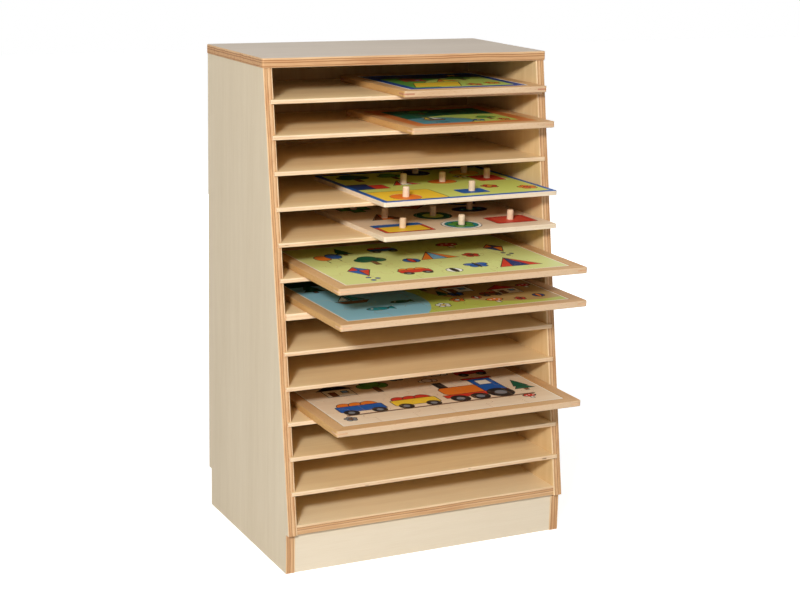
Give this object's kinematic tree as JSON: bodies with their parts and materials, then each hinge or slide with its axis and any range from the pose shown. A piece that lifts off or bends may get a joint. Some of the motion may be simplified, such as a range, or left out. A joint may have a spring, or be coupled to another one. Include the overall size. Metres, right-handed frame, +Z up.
{
  "type": "puzzle cabinet",
  "caption": "Birch plywood puzzle cabinet with a sloping front and shallow open shelves, holding framed jigsaw trays and knob puzzles that slide out and lift apart.",
  "frame": {"origin": "middle of the footprint of the whole object's box, on the floor", "axes": "+X to the object's right seen from the front, -Y to the front, +Z up"},
  "size_m": [0.49, 0.4292, 0.7818],
  "materials": {
    "birch_side": "matt clear lacquer on birch plywood, layers bare on the edges",
    "birch_top": "matt clear lacquer on birch plywood, slightly greyed",
    "birch_kick": "matt clear lacquer on birch plywood, grain along the board",
    "birch_back": "thin birch plywood, unfinished",
    "birch_shelf": "thin birch plywood, matt",
    "beech_dowel": "bare beech",
    "beech_frame": "satin lacquered beech",
    "frame_key": "dark hardwood",
    "tray_base": "thin plywood, bare",
    "picture_01": "printed plywood, satin varnish",
    "picture_02": "printed plywood, satin varnish",
    "picture_06": "printed plywood, satin varnish",
    "picture_07": "printed plywood, satin varnish",
    "picture_10": "printed plywood, satin varnish",
    "board_04": "printed plywood, satin varnish",
    "board_05": "printed plywood, satin varnish",
    "inlay_04": "printed plywood with a bare turned beech knob",
    "inlay_05": "printed plywood with a bare turned beech knob",
    "knob_backing": "thin plywood, pale"
  },
  "bodies": {
    "cabinet": {"left_side_panel": "birch_side", "right_side_panel": "birch_side", "top_panel": "birch_top", "bottom_panel": "birch_side", "kick_board": "birch_kick", "back_panel": "birch_back", "shelf_01": "birch_shelf", "shelf_02": "birch_shelf", "shelf_03": "birch_shelf", "shelf_04": "birch_shelf", "shelf_05": "birch_shelf", "shelf_06": "birch_shelf", "shelf_07_fixed": "birch_shelf", "shelf_08": "birch_shelf", "shelf_09": "birch_shelf", "shelf_10": "birch_shelf", "shelf_11": "birch_shelf", "shelf_12": "birch_shelf", "dowels": "beech_dowel"},
    "puzzle_01": {"puzzle_01_frame": "beech_frame", "puzzle_01_corner_keys": "frame_key", "puzzle_01_base": "tray_base"},
    "puzzle_01_pieces": {"puzzle_01_jigsaw": "picture_01"},
    "puzzle_02": {"puzzle_02_frame": "beech_frame", "puzzle_02_corner_keys": "frame_key", "puzzle_02_base": "tray_base"},
    "puzzle_02_pieces": {"puzzle_02_jigsaw": "picture_02"},
    "puzzle_06": {"puzzle_06_frame": "beech_frame", "puzzle_06_corner_keys": "frame_key", "puzzle_06_base": "tray_base"},
    "puzzle_06_pieces": {"puzzle_06_jigsaw": "picture_06"},
    "puzzle_07": {"puzzle_07_frame": "beech_frame", "puzzle_07_corner_keys": "frame_key", "puzzle_07_base": "tray_base"},
    "puzzle_07_pieces": {"puzzle_07_jigsaw": "picture_07"},
    "puzzle_10": {"puzzle_10_frame": "beech_frame", "puzzle_10_corner_keys": "frame_key", "puzzle_10_base": "tray_base"},
    "puzzle_10_pieces": {"puzzle_10_jigsaw": "picture_10"},
    "puzzle_04": {"puzzle_04_board": "board_04", "puzzle_04_backing": "knob_backing"},
    "puzzle_04_piece_1_body": {"puzzle_04_piece_1": "inlay_04"},
    "puzzle_04_piece_2_body": {"puzzle_04_piece_2": "inlay_04"},
    "puzzle_04_piece_3_body": {"puzzle_04_piece_3": "inlay_04"},
    "puzzle_04_piece_4_body": {"puzzle_04_piece_4": "inlay_04"},
    "puzzle_04_piece_5_body": {"puzzle_04_piece_5": "inlay_04"},
    "puzzle_04_piece_6_body": {"puzzle_04_piece_6": "inlay_04"},
    "puzzle_04_piece_7_body": {"puzzle_04_piece_7": "inlay_04"},
    "puzzle_05": {"puzzle_05_board": "board_05", "puzzle_05_backing": "knob_backing"},
    "puzzle_05_piece_1_body": {"puzzle_05_piece_1": "inlay_05"},
    "puzzle_05_piece_2_body": {"puzzle_05_piece_2": "inlay_05"},
    "puzzle_05_piece_3_body": {"puzzle_05_piece_3": "inlay_05"},
    "puzzle_05_piece_4_body": {"puzzle_05_piece_4": "inlay_05"},
    "puzzle_05_piece_5_body": {"puzzle_05_piece_5": "inlay_05"},
    "puzzle_05_piece_6_body": {"puzzle_05_piece_6": "inlay_05"},
    "puzzle_05_piece_7_body": {"puzzle_05_piece_7": "inlay_05"},
    "puzzle_05_piece_8_body": {"puzzle_05_piece_8": "inlay_05"},
    "puzzle_05_piece_9_body": {"puzzle_05_piece_9": "inlay_05"}
  },
  "joints": [
    {"name": "puzzle_01_slide", "type": "slide", "parent": "cabinet", "child": "puzzle_01", "axis": [0, -1, 0], "range_m": [-0.0325, 0.125]},
    {"name": "puzzle_01_lift", "type": "slide", "parent": "puzzle_01", "child": "puzzle_01_pieces", "axis": [0, 0, 1], "range_m": [0, 0.02]},
    {"name": "puzzle_02_slide", "type": "slide", "parent": "cabinet", "child": "puzzle_02", "axis": [0, -1, 0], "range_m": [-0.0605, 0.105]},
    {"name": "puzzle_02_lift", "type": "slide", "parent": "puzzle_02", "child": "puzzle_02_pieces", "axis": [0, 0, 1], "range_m": [0, 0.02]},
    {"name": "puzzle_06_slide", "type": "slide", "parent": "cabinet", "child": "puzzle_06", "axis": [0, -1, 0], "range_m": [-0.1105, 0.07]},
    {"name": "puzzle_06_lift", "type": "slide", "parent": "puzzle_06", "child": "puzzle_06_pieces", "axis": [0, 0, 1], "range_m": [0, 0.02]},
    {"name": "puzzle_07_slide", "type": "slide", "parent": "cabinet", "child": "puzzle_07", "axis": [0, -1, 0], "range_m": [-0.1135, 0.075]},
    {"name": "puzzle_07_lift", "type": "slide", "parent": "puzzle_07", "child": "puzzle_07_pieces", "axis": [0, 0, 1], "range_m": [0, 0.02]},
    {"name": "puzzle_10_slide", "type": "slide", "parent": "cabinet", "child": "puzzle_10", "axis": [0, -1, 0], "range_m": [-0.1095, 0.105]},
    {"name": "puzzle_10_lift", "type": "slide", "parent": "puzzle_10", "child": "puzzle_10_pieces", "axis": [0, 0, 1], "range_m": [0, 0.02]},
    {"name": "puzzle_04_slide", "type": "slide", "parent": "cabinet", "child": "puzzle_04", "axis": [0, -1, 0], "range_m": [-0.0505, 0.125]},
    {"name": "puzzle_04_piece_1_lift", "type": "slide", "parent": "puzzle_04", "child": "puzzle_04_piece_1_body", "axis": [0, 0, 1], "range_m": [0, 0.012]},
    {"name": "puzzle_04_piece_2_lift", "type": "slide", "parent": "puzzle_04", "child": "puzzle_04_piece_2_body", "axis": [0, 0, 1], "range_m": [0, 0.012]},
    {"name": "puzzle_04_piece_3_lift", "type": "slide", "parent": "puzzle_04", "child": "puzzle_04_piece_3_body", "axis": [0, 0, 1], "range_m": [0, 0.012]},
    {"name": "puzzle_04_piece_4_lift", "type": "slide", "parent": "puzzle_04", "child": "puzzle_04_piece_4_body", "axis": [0, 0, 1], "range_m": [0, 0.012]},
    {"name": "puzzle_04_piece_5_lift", "type": "slide", "parent": "puzzle_04", "child": "puzzle_04_piece_5_body", "axis": [0, 0, 1], "range_m": [0, 0.012]},
    {"name": "puzzle_04_piece_6_lift", "type": "slide", "parent": "puzzle_04", "child": "puzzle_04_piece_6_body", "axis": [0, 0, 1], "range_m": [0, 0.012]},
    {"name": "puzzle_04_piece_7_lift", "type": "slide", "parent": "puzzle_04", "child": "puzzle_04_piece_7_body", "axis": [0, 0, 1], "range_m": [0, 0.012]},
    {"name": "puzzle_05_slide", "type": "slide", "parent": "cabinet", "child": "puzzle_05", "axis": [0, -1, 0], "range_m": [-0.0535, 0.13]},
    {"name": "puzzle_05_piece_1_lift", "type": "slide", "parent": "puzzle_05", "child": "puzzle_05_piece_1_body", "axis": [0, 0, 1], "range_m": [0, 0.012]},
    {"name": "puzzle_05_piece_2_lift", "type": "slide", "parent": "puzzle_05", "child": "puzzle_05_piece_2_body", "axis": [0, 0, 1], "range_m": [0, 0.012]},
    {"name": "puzzle_05_piece_3_lift", "type": "slide", "parent": "puzzle_05", "child": "puzzle_05_piece_3_body", "axis": [0, 0, 1], "range_m": [0, 0.012]},
    {"name": "puzzle_05_piece_4_lift", "type": "slide", "parent": "puzzle_05", "child": "puzzle_05_piece_4_body", "axis": [0, 0, 1], "range_m": [0, 0.012]},
    {"name": "puzzle_05_piece_5_lift", "type": "slide", "parent": "puzzle_05", "child": "puzzle_05_piece_5_body", "axis": [0, 0, 1], "range_m": [0, 0.012]},
    {"name": "puzzle_05_piece_6_lift", "type": "slide", "parent": "puzzle_05", "child": "puzzle_05_piece_6_body", "axis": [0, 0, 1], "range_m": [0, 0.012]},
    {"name": "puzzle_05_piece_7_lift", "type": "slide", "parent": "puzzle_05", "child": "puzzle_05_piece_7_body", "axis": [0, 0, 1], "range_m": [0, 0.012]},
    {"name": "puzzle_05_piece_8_lift", "type": "slide", "parent": "puzzle_05", "child": "puzzle_05_piece_8_body", "axis": [0, 0, 1], "range_m": [0, 0.012]},
    {"name": "puzzle_05_piece_9_lift", "type": "slide", "parent": "puzzle_05", "child": "puzzle_05_piece_9_body", "axis": [0, 0, 1], "range_m": [0, 0.012]}
  ]
}
